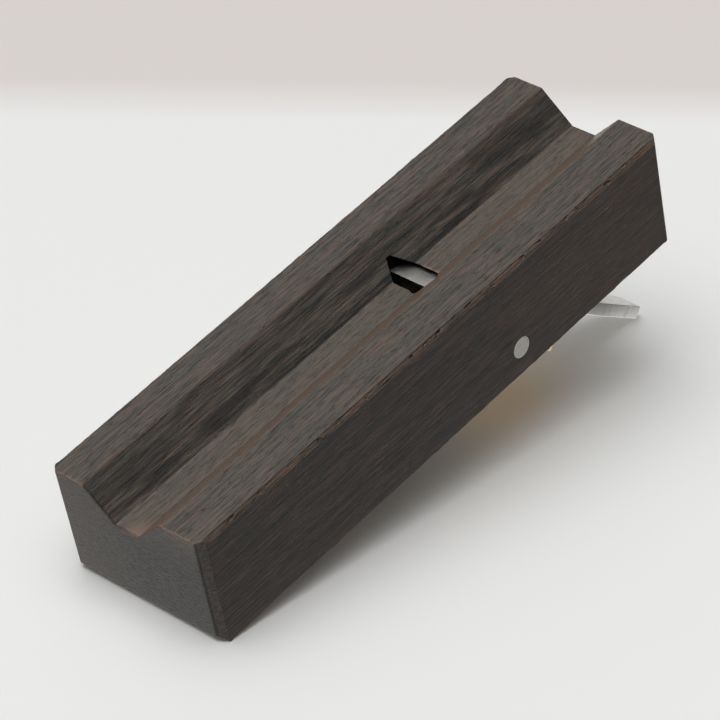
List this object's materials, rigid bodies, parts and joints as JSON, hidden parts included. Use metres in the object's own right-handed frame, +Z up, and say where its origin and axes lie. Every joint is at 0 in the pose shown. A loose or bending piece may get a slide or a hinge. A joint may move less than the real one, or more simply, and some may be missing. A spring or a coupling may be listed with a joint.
{
  "type": "hand plane",
  "caption": "Small wooden block plane with a flat-bottomed V groove along its sole for chamfering corners, an iron with a tapered tail, a wedge and a cross pin.",
  "frame": {"origin": "on the sole plane, at half the block's length, on the centreline of the groove that the mouth, iron and wedge are centred on", "axes": "+X along the groove to the toe, +Y to the plane's left side, +Z up out of the sole into the block"},
  "size_m": [0.1454, 0.04, 0.0618],
  "materials": {
    "dark_hardwood": "oiled, fine grained, arrises worn to a lighter brown",
    "pin_steel": "filed flush, satin",
    "iron_steel": "ground, satin, bright bevel",
    "wedge_brass": "satin, lightly dulled"
  },
  "bodies": {
    "block": {"plane_body": "dark_hardwood", "cross_pin": "pin_steel"},
    "iron": {"cutting_iron": "iron_steel"},
    "wedge": {"brass_wedge": "wedge_brass"}
  },
  "joints": [
    {"name": "iron_slide", "type": "slide", "parent": "block", "child": "iron", "axis": [-0.7373, 0, 0.6756], "range_m": [-0.0015, 0.022]},
    {"name": "wedge_slide", "type": "slide", "parent": "block", "child": "wedge", "axis": [-0.7373, 0, 0.6756], "range_m": [0, 0.016]}
  ]
}
